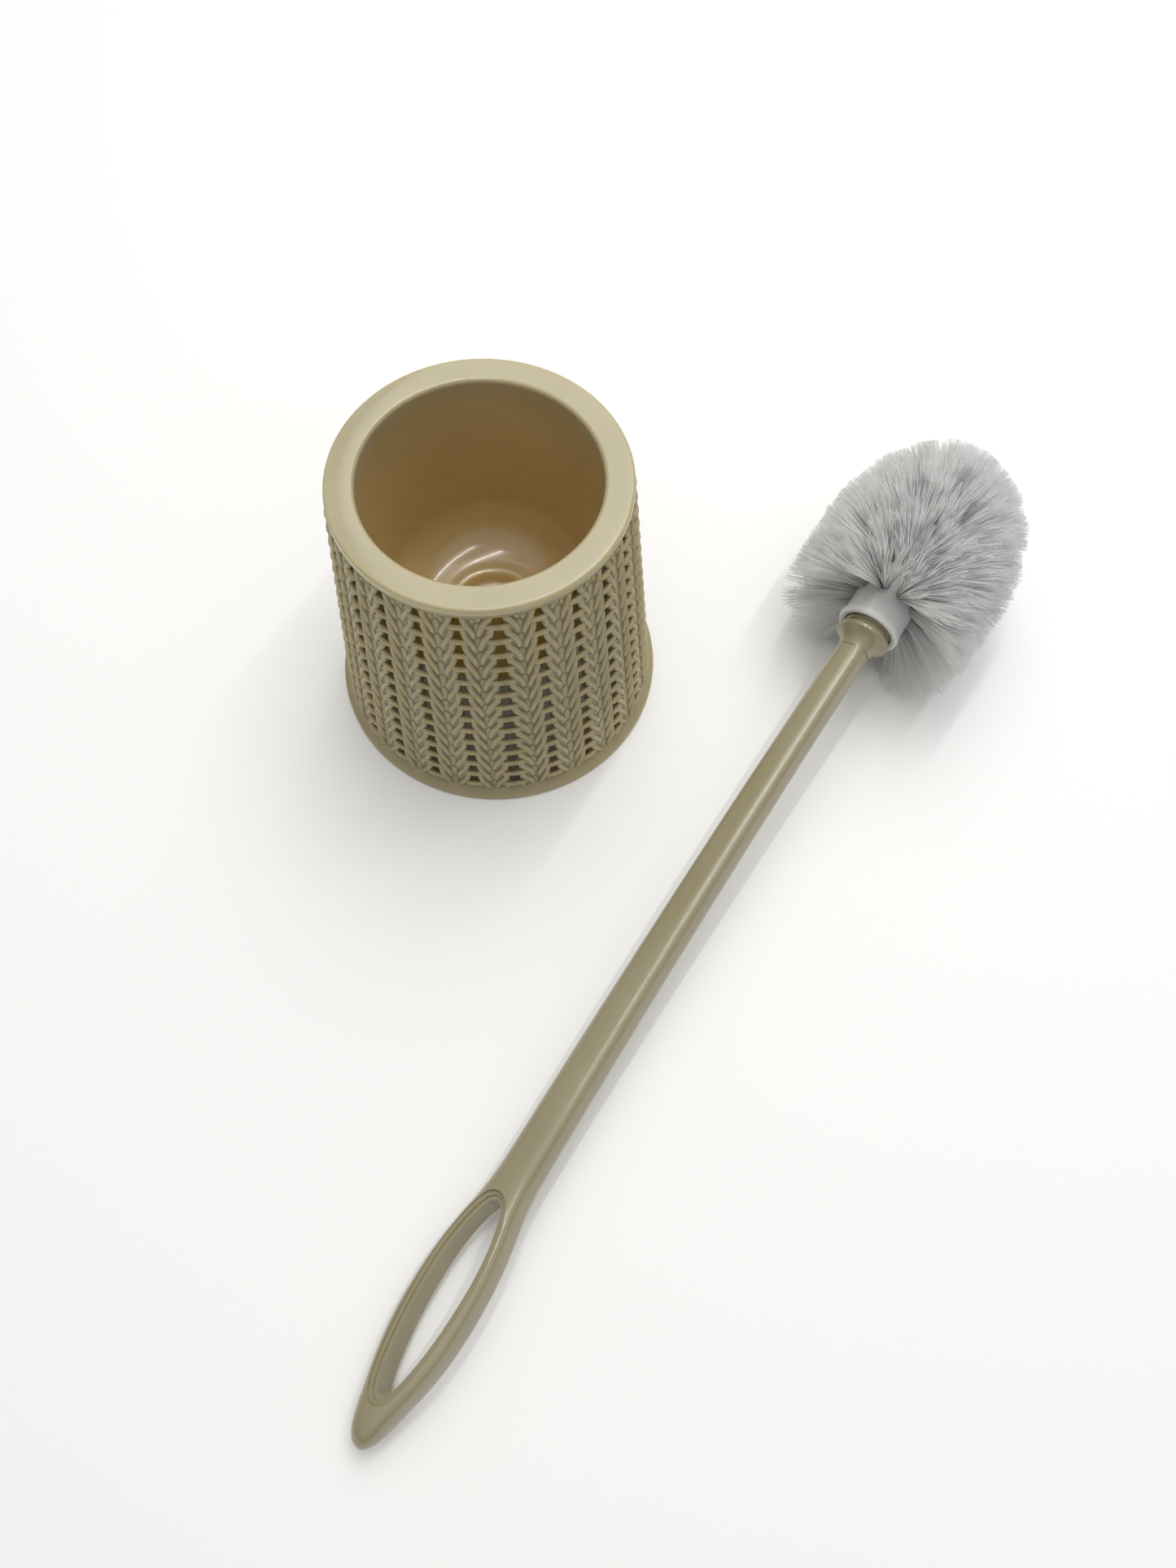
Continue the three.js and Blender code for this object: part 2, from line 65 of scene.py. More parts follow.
# ---- Sleeve wall ----
# The outer sleeve of the holder: one satin cream polypropylene moulding, a straight cone on a flared foot.
# Tall slots are left open between its ribs, and a rolled bead stiffens the edge of the foot.
sleeve_low, sleeve_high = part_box("knit_sleeve")
holder_axis = Vector(((sleeve_low.x + sleeve_high.x) / 2, (sleeve_low.y + sleeve_high.y) / 2, 0))
sleeve_top = 105.0
columns = 24
column_step = 2 * math.pi / columns
front_column = math.radians(310.66)
slot_half = math.radians(2.05)
slot_bottom = 4.9
slot_top = 103.4
wall = 1.7
foot_radius = 58.6
foot_ring_width = 4.6
foot_bead_height = 2.3
foot_bead_round = 0.9
flare_top = 7.0
flare_curve = 2.2
lip_bottom = 103.7
lip_radius = 46.5
lip_bevel = 0.25
rib_divisions = 6


def wall_radius(z):
    return 45.7 + 0.0937 * (sleeve_top - z)


def on_holder(bearing, radius, z):
    return (radius * math.cos(bearing), radius * math.sin(bearing), z)


def plastic(name, colour, roughness, mottle=0.04, grain=0.015, coat=0.0, depth=0.12, glow=(1.6, 1.1, 0.55)):
    """Moulded plastic: slow colour drift, fine specks, uneven gloss and a faint moulded grain."""
    material = bpy.data.materials.new(name)
    material.use_nodes = True
    nodes, links = material.node_tree.nodes, material.node_tree.links
    shader = nodes["Principled BSDF"]
    place = nodes.new("ShaderNodeTexCoord")
    drift = nodes.new("ShaderNodeTexNoise")
    drift.inputs["Scale"].default_value = 38.0
    drift.inputs["Detail"].default_value = 4.0
    links.new(place.outputs["Object"], drift.inputs["Vector"])
    tint = nodes.new("ShaderNodeValToRGB")
    tint.color_ramp.elements[0].position = 0.3
    tint.color_ramp.elements[1].position = 0.72
    tint.color_ramp.elements[0].color = (*[c * (1 - mottle) for c in colour], 1)
    tint.color_ramp.elements[1].color = (*[min(1, c * (1 + mottle)) for c in colour], 1)
    links.new(drift.outputs["Fac"], tint.inputs["Fac"])
    specks = nodes.new("ShaderNodeTexVoronoi")
    specks.inputs["Scale"].default_value = 90.0
    links.new(place.outputs["Object"], specks.inputs["Vector"])
    speck_size = nodes.new("ShaderNodeMapRange")
    speck_size.inputs["From Min"].default_value = 0.012
    speck_size.inputs["From Max"].default_value = 0.022
    speck_size.inputs["To Min"].default_value = 0.72
    speck_size.inputs["To Max"].default_value = 1.0
    links.new(specks.outputs["Distance"], speck_size.inputs["Value"])
    speckled = nodes.new("ShaderNodeMix")
    speckled.data_type = "RGBA"
    speckled.blend_type = "MULTIPLY"
    speckled.inputs["Factor"].default_value = 1.0
    links.new(tint.outputs["Color"], speckled.inputs["A"])
    links.new(speck_size.outputs["Result"], speckled.inputs["B"])
    links.new(speckled.outputs["Result"], shader.inputs["Base Color"])
    uneven = nodes.new("ShaderNodeTexNoise")
    uneven.inputs["Scale"].default_value = 120.0
    uneven.inputs["Detail"].default_value = 3.0
    links.new(place.outputs["Object"], uneven.inputs["Vector"])
    gloss = nodes.new("ShaderNodeMapRange")
    gloss.inputs["To Min"].default_value = roughness * 0.82
    gloss.inputs["To Max"].default_value = min(1.0, roughness * 1.2)
    links.new(uneven.outputs["Fac"], gloss.inputs["Value"])
    links.new(gloss.outputs["Result"], shader.inputs["Roughness"])
    fine = nodes.new("ShaderNodeTexNoise")
    fine.inputs["Scale"].default_value = 900.0
    fine.inputs["Detail"].default_value = 2.0
    links.new(place.outputs["Object"], fine.inputs["Vector"])
    bump = nodes.new("ShaderNodeBump")
    bump.inputs["Strength"].default_value = 0.35
    bump.inputs["Distance"].default_value = grain * mm
    links.new(fine.outputs["Fac"], bump.inputs["Height"])
    links.new(bump.outputs["Normal"], shader.inputs["Normal"])
    shader.inputs["Specular IOR Level"].default_value = 0.5
    shader.inputs["Coat Weight"].default_value = coat
    shader.inputs["Coat Roughness"].default_value = 0.07
    shader.inputs["Subsurface Weight"].default_value = depth
    shader.inputs["Subsurface Radius"].default_value = glow
    shader.inputs["Subsurface Scale"].default_value = mm
    return material


def piece(name, points, faces, finish, body, nodes=(), place=None, sharp=40):
    """Points in mm, placed by `place` (a matrix in mm, or the holder's axis if none), made into one piece."""
    mesh = bpy.data.meshes.new(name)
    if place is None:
        place = Matrix.Translation(holder_axis / mm)
    mesh.from_pydata([(place @ Vector(p)) * mm for p in points], [], faces)
    mesh.validate()
    mesh.shade_smooth()
    mesh.set_sharp_from_angle(angle=math.radians(sharp))
    made = bpy.data.objects.new(name, mesh)
    bpy.context.scene.collection.objects.link(made)
    mesh.materials.append(finish)
    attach(made, body)
    if nodes:
        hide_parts(*nodes)
    return made


def sleeve_wall_rows():
    """(height, outer radius, inner radius) from the ground up."""
    rows = []
    inner_foot = foot_radius - foot_ring_width
    flat_radius = foot_radius - foot_bead_round
    for step in range(7):
        turn = math.radians(-90 + 30 * step)
        rows.append((foot_bead_height / 2 * (1 + math.sin(turn)),
                     flat_radius + foot_bead_round * math.cos(turn), inner_foot))
    for step in range(1, 7):
        t = step / 6
        z = foot_bead_height + (flare_top - foot_bead_height) * t
        swell = (flat_radius - wall_radius(foot_bead_height)) * (1 - t) ** flare_curve
        rows.append((z, wall_radius(z) + swell, min(wall_radius(z) - wall, inner_foot)))
    return [row for row in rows if row[0] < slot_bottom - 0.2]


# Painted shade: the sleeve's cream is set darker and warmer than the cup's, standing for the shade the sleeve
# sits in.
cream = (0.405, 0.347, 0.208)
sleeve_shaded_cream = plastic("cream_satin_painted_shade", cream, 0.42, mottle=0.05, grain=0.02, depth=0.6, glow=(4.5, 3.6, 0.7))

rows = sleeve_wall_rows()
first_open = len(rows)
for height in (slot_bottom, 20, 40, 60, 80, slot_top):
    rows.append((height, wall_radius(height), wall_radius(height) - wall))
last_open = len(rows) - 1
lip_inner = wall_radius(lip_bottom) - wall
rows.append((lip_bottom, lip_radius - lip_bevel, lip_inner))
rows.append((lip_bottom + 0.2, lip_radius, lip_inner))
rows.append((sleeve_top - 0.3, lip_radius, lip_inner))
rows.append((sleeve_top, lip_radius - lip_bevel, lip_inner))
bearings = []
for column in range(columns):
    centre = front_column + column * column_step
    bearings.append(centre - slot_half)
    for step in range(rib_divisions):
        bearings.append(centre + slot_half + (column_step - 2 * slot_half) * step / rib_divisions)
around = len(bearings)
per_column = rib_divisions + 1
points = []
for height, outer, inner in rows:
    points += [on_holder(b, outer, height) for b in bearings]
    points += [on_holder(b, inner, height) for b in bearings]
faces = []
for row in range(len(rows)):
    for k in range(around):
        out_a, out_b = row * 2 * around + k, row * 2 * around + (k + 1) % around
        in_a, in_b = out_a + around, out_b + around
        up = 2 * around
        if row == 0:
            faces.append((out_b, out_a, in_a, in_b))
        if row == len(rows) - 1:
            faces.append((out_a, out_b, in_b, in_a))
            continue
        is_slot = k % per_column == 0 and first_open <= row < last_open
        if not is_slot:
            faces.append((out_a, out_b, out_b + up, out_a + up))
            faces.append((in_b, in_a, in_a + up, in_b + up))
            continue
        faces.append((out_a + up, out_a, in_a, in_a + up))
        faces.append((out_b, out_b + up, in_b + up, in_b))
        if row == first_open:
            faces.append((out_a, out_b, in_b, in_a))
        if row == last_open - 1:
            faces.append((out_b + up, out_a + up, in_a + up, in_b + up))
piece("sleeve_wall", points, faces, sleeve_shaded_cream, "sleeve", ["knit_sleeve"])

# ---- Stitch legs ----
# The knit pattern is moulded in one with the wall: fat slanting legs run down and out from each side of a
# slot, each ending in a round tip by the middle of the rib, with a row of flat scales down the valley
# between them.
rungs = 14
rung_pitch = 7.07
lowest_rung = 7.4
reference_radius = 47.0
tube_sides = 9


def smooth_path(stops, divisions):
    """Points on a smooth curve through rows of numbers."""
    path = []
    last = len(stops) - 1
    for k in range(last):
        before, start, end, after = stops[max(k - 1, 0)], stops[k], stops[k + 1], stops[min(k + 2, last)]
        for step in range(divisions):
            t = step / divisions
            path.append([0.5 * (2 * b + (c - a) * t + (2 * a - 5 * b + 4 * c - d) * t * t
                                + (3 * b - a - 3 * c + d) * t ** 3)
                         for a, b, c, d in zip(before, start, end, after)])
    path.append(list(stops[-1]))
    return path


def tube(points, faces, centres, radii, sides=tube_sides, flat=1.0, outward=None):
    """Adds a closed round-ended tube through the centres.  `flat` squeezes it towards `outward`."""
    start = len(points)
    along = [(centres[min(k + 1, len(centres) - 1)] - centres[max(k - 1, 0)]).normalized()
             for k in range(len(centres))]
    rings = []
    for turn in (80, 45):
        swing = math.radians(turn)
        rings.append((centres[0] - along[0] * radii[0] * math.sin(swing), radii[0] * math.cos(swing),
                      along[0]))
    rings += list(zip(centres, radii, along))
    for turn in (45, 80):
        swing = math.radians(turn)
        rings.append((centres[-1] + along[-1] * radii[-1] * math.sin(swing), radii[-1] * math.cos(swing),
                      along[-1]))
    for centre, radius, direction in rings:
        out = outward if outward is not None else Vector((centre.x, centre.y, 0)).normalized()
        side = direction.cross(out).normalized()
        rise = side.cross(direction)
        for k in range(sides):
            angle = 2 * math.pi * k / sides
            points.append(centre + side * radius * math.cos(angle) + rise * radius * flat * math.sin(angle))
    for ring in range(len(rings) - 1):
        for k in range(sides):
            a, b = start + ring * sides + k, start + ring * sides + (k + 1) % sides
            faces.append((b, a, a + sides, b + sides))
    faces.append(tuple(start + k for k in range(sides)))
    last = start + (len(rings) - 1) * sides
    faces.append(tuple(last + k for k in reversed(range(sides))))


# Each row: mm sideways from the slot's middle, mm below the rung above, mm proud of the wall, radius.
# On the column where the mould parts the legs start wider and reach further than on the others.
leg_stops = [
    (1.95, 0.3, -0.95, 1.0),
    (1.9, 1.7, -0.3, 1.15),
    (1.95, 3.2, -0.1, 1.12),
    (2.25, 4.8, 0.05, 1.08),
    (2.9, 6.3, 0.18, 1.04),
    (3.75, 7.9, 0.26, 1.0),
    (4.4, 9.4, 0.26, 0.92),
    (4.68, 10.7, 0.18, 0.82),
    (4.7, 11.5, 0.08, 0.75),
]
parting_leg_stops = [
    (2.4, 0.3, -0.95, 1.15),
    (2.38, 1.6, -0.3, 1.28),
    (2.5, 2.9, -0.1, 1.24),
    (3.0, 4.1, 0.05, 1.16),
    (3.9, 5.2, 0.18, 1.08),
    (4.75, 6.6, 0.26, 1.02),
    (5.35, 8.2, 0.28, 0.95),
    (5.62, 9.6, 0.22, 0.85),
    (5.62, 10.7, 0.1, 0.76),
]
scale_stops = [(0, 6.6, 0.05, 1.1), (0, 7.6, -0.05, 1.5), (0, 10.0, -0.2, 1.6), (0, 12.8, -0.45, 1.3)]
scale_flatness = 0.3
lowest_stitch = 4.3
highest_stitch = 103.9


def stitches(name, shapes, flat):
    """`shapes` gives, for a column, each tube's stops in a stitch, its side and its turn round the sleeve."""
    points, faces = [], []
    for column in range(columns):
        middle = front_column + column * column_step
        for rung in range(rungs + 2):
            rung_height = lowest_rung + rung_pitch * rung
            for stops, side, shift in shapes(column):
                centres, radii = [], []
                for sideways, below, proud, radius in stops:
                    z = rung_height - below
                    if lowest_stitch <= z <= highest_stitch:
                        bearing = middle + shift + side * sideways / reference_radius
                        centres.append(Vector(on_holder(bearing, wall_radius(z) + proud, z)))
                        radii.append(radius)
                if len(centres) > 1:
                    tube(points, faces, centres, radii, flat=flat)
    piece(name, points, faces, sleeve_shaded_cream, "sleeve", sharp=180)


stitches("sleeve_stitch_legs",
         lambda column: [(leg_stops if column else parting_leg_stops, side, 0) for side in (1, -1)], 1.0)
stitches("sleeve_stitch_scales", lambda column: [(scale_stops, 1, column_step / 2)], scale_flatness)

# ---- Rungs ----
# A slim bar bridges each slot at every stitch, its ends tucked under the legs.
# One column of rungs carries the mould's parting line as a little raised nub on each bar.
rung_stops = [(-3.0, -0.5, -0.2, 0.66), (-2.4, -0.35, 0.5, 0.82), (-1.3, -0.1, 0.72, 0.92),
              (0, 0, 0.78, 0.95),
              (1.3, -0.1, 0.72, 0.92), (2.4, -0.35, 0.5, 0.82), (3.0, -0.5, -0.2, 0.66)]
parting_stretch = 1.36
nub_radius = 0.21

points, faces = [], []
for column in range(columns):
    middle = front_column + column * column_step
    for rung in range(rungs):
        height = lowest_rung + rung_pitch * rung
        stretch = 1 if column else parting_stretch
        centres = [Vector(on_holder(middle + stretch * sideways / reference_radius,
                                    wall_radius(height - below) + proud, height - below))
                   for sideways, below, proud, radius in rung_stops]
        tube(points, faces, centres, [stop[3] for stop in rung_stops], sides=8, outward=Vector((0, 0, 1)))
        if column == 0:
            nub = [Vector(on_holder(middle, wall_radius(height) + proud, height + rise))
                   for rise, proud in ((0.7, 1.25), (0.1, 1.62), (-0.8, 1.3))]
            tube(points, faces, nub, [nub_radius * 0.8, nub_radius, nub_radius * 0.8], sides=6)
piece("sleeve_rungs", points, faces, sleeve_shaded_cream, "sleeve", sharp=180)

# ---- Liner cup ----
# A glossy cream polypropylene cup with a wide flat rim, dropped into the sleeve and standing on its edge.
# Its wall tapers into a bowl floor with a dimple in the middle; a short skirt under the rim centres it.
cup_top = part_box("inner_cup")[1].z / mm
cup_segments = 144


def arc(centre_r, centre_z, radius_r, radius_z, start, end, steps):
    return [(centre_r + radius_r * math.cos(math.radians(start + (end - start) * k / steps)),
             centre_z + radius_z * math.sin(math.radians(start + (end - start) * k / steps)))
            for k in range(steps + 1)]


def turned(points, faces, profile, segments):
    """Adds the surface of (radius, height) pairs turned about the upright axis.  Radius 0 is a pole."""
    rings = []
    for radius, height in profile:
        if radius == 0:
            rings.append([len(points)])
            points.append((0, 0, height))
            continue
        rings.append(list(range(len(points), len(points) + segments)))
        points += [on_holder(2 * math.pi * k / segments, radius, height) for k in range(segments)]
    for lower, upper in zip(rings, rings[1:]):
        for k in range(segments):
            n = (k + 1) % segments
            if len(lower) == 1:
                faces.append((lower[0], upper[n], upper[k]))
            elif len(upper) == 1:
                faces.append((lower[k], lower[n], upper[0]))
            else:
                faces.append((lower[k], lower[n], upper[n], upper[k]))


mouth = 37.5
mouth_round = 1.4
bowl_start, bowl_start_radius = 54.0, 34.75
bowl_floor, dimple = 37.6, 14.7
cup_wall = 1.8
skirt_inner, skirt_outer, skirt_bottom = 42.0, 43.4, 102.5
rim_bottom = 105.3
rim_radius = 46.8
rim_round = 1.1
bowl_width, bowl_depth = bowl_start_radius - dimple, bowl_start - bowl_floor
outside = [(0, 32.2), (11.5, 32.2), (dimple, 33.6)]
outside += arc(dimple, bowl_start, bowl_width + cup_wall, bowl_depth + cup_wall, -90, 0, 14)
outside += [(38.2, 88), (mouth + cup_wall, 102.6)]
outer_bands = len(outside) - 1
outside += [(skirt_inner - 0.4, rim_bottom), (skirt_inner, skirt_bottom), (skirt_outer, skirt_bottom),
            (skirt_outer, rim_bottom)]
rim = [(rim_radius - 0.25, rim_bottom), (rim_radius, rim_bottom + 0.25)]
rim += arc(rim_radius - rim_round, cup_top - rim_round, rim_round, rim_round, 0, 90, 6)
inside = [(41.5, cup_top)]
inside += arc(mouth + mouth_round, cup_top - mouth_round, mouth_round, mouth_round, 90, 180, 8)
inside += [(36.6, 88), (35.7, 70)]
inside += arc(dimple, bowl_start, bowl_width, bowl_depth, 0, -90, 18)
inside += [(dimple - 0.7, bowl_floor - 0.3), (dimple - 1.4, bowl_floor - 1.2), (dimple - 1.9, 35.0),
           (dimple - 2.7, 34.25), (dimple - 3.8, 34.0), (7.2, 34.0), (6.4, 34.3), (5.6, 35.2), (4.2, 36.0),
           (2.2, 36.4), (0, 36.5)]
cup_cream = plastic("cream_gloss", (0.45, 0.405, 0.262), 0.17, mottle=0.03, grain=0.012, coat=0.3,
                    depth=0.8, glow=(5.5, 4.4, 0.6))
cup_nodes, cup_links = cup_cream.node_tree.nodes, cup_cream.node_tree.links
cup_shader = cup_nodes["Principled BSDF"]
cup_place = cup_nodes.new("ShaderNodeTexCoord")
cup_height = cup_nodes.new("ShaderNodeSeparateXYZ")
# Painted bounce light: below the rim the cup's colour is multiplied towards amber, standing for warm light
# bounced around inside the bowl.
painted_bounce_ramp = cup_nodes.new("ShaderNodeMapRange")
painted_bounce_ramp.inputs["From Min"].default_value = 106.5 * mm
painted_bounce_ramp.inputs["From Max"].default_value = 99 * mm
painted_bounce_tint = cup_nodes.new("ShaderNodeMix")
painted_bounce_tint.data_type = "RGBA"
painted_bounce_tint.blend_type = "MULTIPLY"
painted_bounce_tint.inputs["B"].default_value = (1.12, 0.94, 0.72, 1)
cup_links.new(cup_place.outputs["Object"], cup_height.inputs["Vector"])
cup_links.new(cup_height.outputs["Z"], painted_bounce_ramp.inputs["Value"])
cup_links.new(painted_bounce_ramp.outputs["Result"], painted_bounce_tint.inputs["Factor"])
cup_links.new(cup_shader.inputs["Base Color"].links[0].from_socket, painted_bounce_tint.inputs["A"])
cup_links.new(painted_bounce_tint.outputs["Result"], cup_shader.inputs["Base Color"])
points, faces = [], []
turned(points, faces, outside + rim + inside, cup_segments)
cup = piece("liner_cup", points, faces, cup_cream, "cup", ["inner_cup"], sharp=35)
# Light from the mouth comes through the wall by subsurface scattering, and the outer wall also gets a deeper
# amber copy of the cream as painted light, so that its outside glows amber behind the slots.
painted_backlight_wall = plastic("cream_painted_backlight", (0.45, 0.37, 0.12), 0.4, mottle=0.05, depth=0.9,
                          glow=(5.5, 4.9, 0.3))
cup.data.materials.append(painted_backlight_wall)
for face in cup.data.polygons[:outer_bands * cup_segments]:
    face.material_index = 1

# ---- Handle ----
# A glossy polypropylene bar: an eye loop with a stepped recess round the eye on both faces, a tapering
# soft-cornered stem, and a flared collar.  Its beige is painted darker than the cup's cream to stand for the
# shade on the bar.  It lies tilted on the loop's edge, and the bristles hold its far end up.
unscrew = next(j for j in frame["joints"] if j["name"] == "head_unscrew")
collar_front = 304.6
brush_pitch = math.radians(4.45)
brush_roll = math.radians(-27)
bow = 2.1
brush_turn = Matrix.Rotation(brush_pitch, 4, "X") @ Matrix.Rotation(brush_roll, 4, "Y")
loop_tip = Vector(unscrew["pos_m"]) / mm - (brush_turn @ Vector((0, collar_front, 0)))
brush_place = Matrix.Translation(loop_tip) @ brush_turn
head_place = (brush_place @ Matrix.Translation((0, collar_front, 0))
              @ Matrix.Rotation(-math.atan(4 * bow / collar_front), 4, "Z")
              @ Matrix.Translation((0, -collar_front, 0)))
handle_sides = 56

# Each row: station from the loop's tip, half width, half thickness, squareness of the section (an ellipse
# is 2).
handle_stops = [
    (0.0, 0.6, 0.6, 2.2), (0.5, 1.9, 1.6, 2.2), (1.6, 3.0, 2.9, 2.3), (4.0, 4.25, 4.4, 2.5),
    (8.0, 5.5, 5.3, 2.9),
    (14.0, 7.1, 5.7, 3.3), (22.0, 9.2, 5.85, 3.8), (32.0, 11.0, 5.9, 4.2), (44.0, 11.75, 5.9, 4.2),
    (56.0, 11.3, 5.85, 4.1), (66.0, 9.9, 5.8, 3.9), (76.0, 7.75, 5.75, 3.6), (84.0, 6.75, 5.65, 3.4),
    (92.0, 6.5, 5.55, 3.3), (104.0, 6.42, 5.45, 3.3), (160.0, 6.12, 5.35, 3.2), (230.0, 5.8, 5.25, 3.1),
    (292.0, 5.55, 5.2, 2.9), (297.0, 5.85, 5.5, 2.3), (299.5, 6.6, 6.4, 2.1), (301.4, 8.0, 7.9, 2.0),
    (302.4, 9.3, 9.3, 2.0), (302.9, 9.75, 9.75, 2.0), (304.1, 9.8, 9.8, 2.0), (304.6, 9.4, 9.4, 2.0),
]


def bow_at(station):
    t = station / collar_front
    return -4 * bow * t * (1 - t)


def section(station, half_width, half_thickness, squareness):
    ring = []
    for k in range(handle_sides):
        angle = 2 * math.pi * k / handle_sides
        c, s = math.cos(angle), math.sin(angle)
        x = half_width * math.copysign(abs(c) ** (2 / squareness), c)
        z = half_thickness * math.copysign(abs(s) ** (2 / squareness), s)
        ring.append(Vector((x + bow_at(station), station, z)))
    return ring


handle_rows = smooth_path(handle_stops, 5)
points, faces = [], []
for row in handle_rows:
    points += section(*row)
for ring in range(len(handle_rows) - 1):
    for k in range(handle_sides):
        a, b = ring * handle_sides + k, ring * handle_sides + (k + 1) % handle_sides
        faces.append((a, a + handle_sides, b + handle_sides, b))
faces.append(tuple(range(handle_sides)))
last = (len(handle_rows) - 1) * handle_sides
faces.append(tuple(last + k for k in range(handle_sides))[::-1])
# Painted shade: this beige is a darker copy of the cup's cream, standing for the shade on the handle and
# plug.
handle_shaded_beige = plastic("beige_gloss_painted_shade", (0.325, 0.288, 0.178), 0.18, mottle=0.05, grain=0.01, coat=0.4)
handle = piece("handle", points, faces, handle_shaded_beige, "brush", ["brush_handle"],
               brush_place, 30)

eye_stops = [(14.6, 0), (15.2, 1.3), (17.0, 2.5), (22, 4.2), (30, 5.8), (40, 6.9), (52, 7.2), (62, 6.4),
             (70, 4.7), (75, 2.8), (76.8, 1.3), (77.2, 0)]
eye_half = smooth_path(eye_stops, 5)
eye_outline = [(half, station) for station, half in eye_half]
eye_outline += [(-half, station) for station, half in eye_half[-2:0:-1]]


def grown(outline, margin):
    wider = []
    for k, (x, y) in enumerate(outline):
        x0, y0 = outline[k - 1]
        x1, y1 = outline[(k + 1) % len(outline)]
        length = math.hypot(x1 - x0, y1 - y0)
        wider.append((x + margin * (y1 - y0) / length, y - margin * (x1 - x0) / length))
    return wider


def eye_cutter(margin, low, high):
    outline = grown(eye_outline, margin)
    count = len(outline)
    mesh = bpy.data.meshes.new("eye_cutter")
    corners = [Vector((x + bow_at(y), y, z)) for z in (low, high) for x, y in outline]
    sides = [(k, (k + 1) % count, count + (k + 1) % count, count + k) for k in range(count)]
    ends = [tuple(range(count))[::-1], tuple(range(count, 2 * count))]
    mesh.from_pydata([(brush_place @ corner) * mm for corner in corners], [], sides + ends)
    cutter = bpy.data.objects.new("eye_cutter", mesh)
    bpy.context.scene.collection.objects.link(cutter)
    return cutter


def cut_away(target, cutter):
    """Cuts one solid out of another for good, and throws the cutter away."""
    change = target.modifiers.new("cut", "BOOLEAN")
    change.operation = "DIFFERENCE"
    change.solver = "EXACT"
    change.object = cutter
    done = bpy.data.meshes.new_from_object(target.evaluated_get(bpy.context.evaluated_depsgraph_get()))
    target.modifiers.remove(change)
    target.data = done
    bpy.data.objects.remove(cutter)


for margin, low, high in ((2.5, 4.5, 9), (2.5, -9, -4.5), (1.2, 3.7, 9), (1.2, -9, -3.7), (0, -12, 12)):
    cut_away(handle, eye_cutter(margin, low, high))
handle.data.shade_smooth()
handle.data.set_sharp_from_angle(angle=math.radians(30))

# ---- Threaded plug ----
# Moulded in one with the collar: a stub with a coarse screw thread, which the white head screws on to.
plug_radius = 8.0
plug_start = 304.2
plug_end = 315.0
plug_bevel = 0.8
thread_start = 305.3
thread_radius = 0.8
thread_pitch = 2.6
thread_turns = 3.4
points, faces = [], []
plug_profile = [(0, -plug_end), (plug_radius - plug_bevel, -plug_end), (plug_radius, -plug_end + plug_bevel),
                (plug_radius, -plug_start), (0, -plug_start)]
turned(points, faces, plug_profile, 64)
points = [Vector((x, -z, y)) for x, y, z in points]
steps = 120
helix = []
for k in range(steps + 1):
    angle = 2 * math.pi * thread_turns * k / steps
    station = thread_start + thread_pitch * thread_turns * k / steps
    helix.append(Vector((plug_radius * math.cos(angle), station, -plug_radius * math.sin(angle))))
tube(points, faces, helix, [thread_radius] * len(helix), sides=6, outward=Vector((0, 1, 0)))
# The plug shares the handle's darkened beige, which is painted shade.
piece("threaded_plug", points, faces, handle_shaded_beige, "brush", (), head_place, 40)

# ---- Core of the head ----
# White polypropylene, with a lip round its socket and a blind hole drilled for every tuft.
# Five rings of holes lean from backwards to forwards along it, and a last ring fans out from the nose.
# A ring's reach sets how tightly its tufts fan: the further it reaches, the tighter they stay.
ring_stations = (320.5, 331.5, 342.5, 353.5, 364.0)
ring_leans = (-9, 1, 9, 18, 32)
ring_reaches = (34.5, 37.0, 37.0, 34.5, 30.0)
tufts_per_ring = 9
nose_tufts = 6
nose_ring_radius = 5.5
nose_lean = math.radians(66)
nose_reach = 20.0
core_radius, nose_radius, taper_start, core_nose = 10.9, 8.4, 352.0, 375.0
hole_radius = 1.95
hole_depth = 4.0


def leaning(bearing, lean):
    return Vector((math.cos(lean) * math.cos(bearing), math.sin(lean), math.cos(lean) * math.sin(bearing)))


def core_radius_at(station):
    into_taper = max(0.0, (station - taper_start) / (core_nose - taper_start))
    return core_radius - (core_radius - nose_radius) * into_taper


tufts = []
for ring, (station, lean, reach) in enumerate(zip(ring_stations, ring_leans, ring_reaches)):
    lean = math.radians(lean)
    radius = core_radius_at(station)
    for k in range(tufts_per_ring):
        bearing = 2 * math.pi * (k + 0.5 * (ring % 2)) / tufts_per_ring
        root = Vector((radius * math.cos(bearing), station, radius * math.sin(bearing)))
        tufts.append((f"ring{ring + 1}_{k + 1}", root, leaning(bearing, lean),
                      (reach - radius) / math.cos(lean)))
for k in range(nose_tufts):
    bearing = 2 * math.pi * (k + 0.25) / nose_tufts
    root = Vector((nose_ring_radius * math.cos(bearing), core_nose, nose_ring_radius * math.sin(bearing)))
    tufts.append((f"nose_{k + 1}", root, leaning(bearing, nose_lean), nose_reach))

core_profile = [(0, -core_nose), (nose_radius - 2.2, -core_nose), (nose_radius - 0.7, -core_nose + 0.6),
                (nose_radius, -core_nose + 2.2), (core_radius, -taper_start), (core_radius, -311.2),
                (11.1, -310.3), (11.35, -309.7), (11.5, -309.0), (11.5, -307.7), (11.2, -307.1),
                (10.8, -306.9), (9.6, -307.1), (9.05, -307.6), (9.0, -308.2), (9.0, -315.5), (0, -315.5)]
points, faces = [], []
turned(points, faces, core_profile, 72)
points = [Vector((x, -z, y)) for x, y, z in points]
core_white = plastic("white_moulded", (0.72, 0.73, 0.72), 0.38, mottle=0.02, grain=0.012)
core = piece("brush_core", points, faces, core_white, "head", ["brush_hub"], head_place, 40)

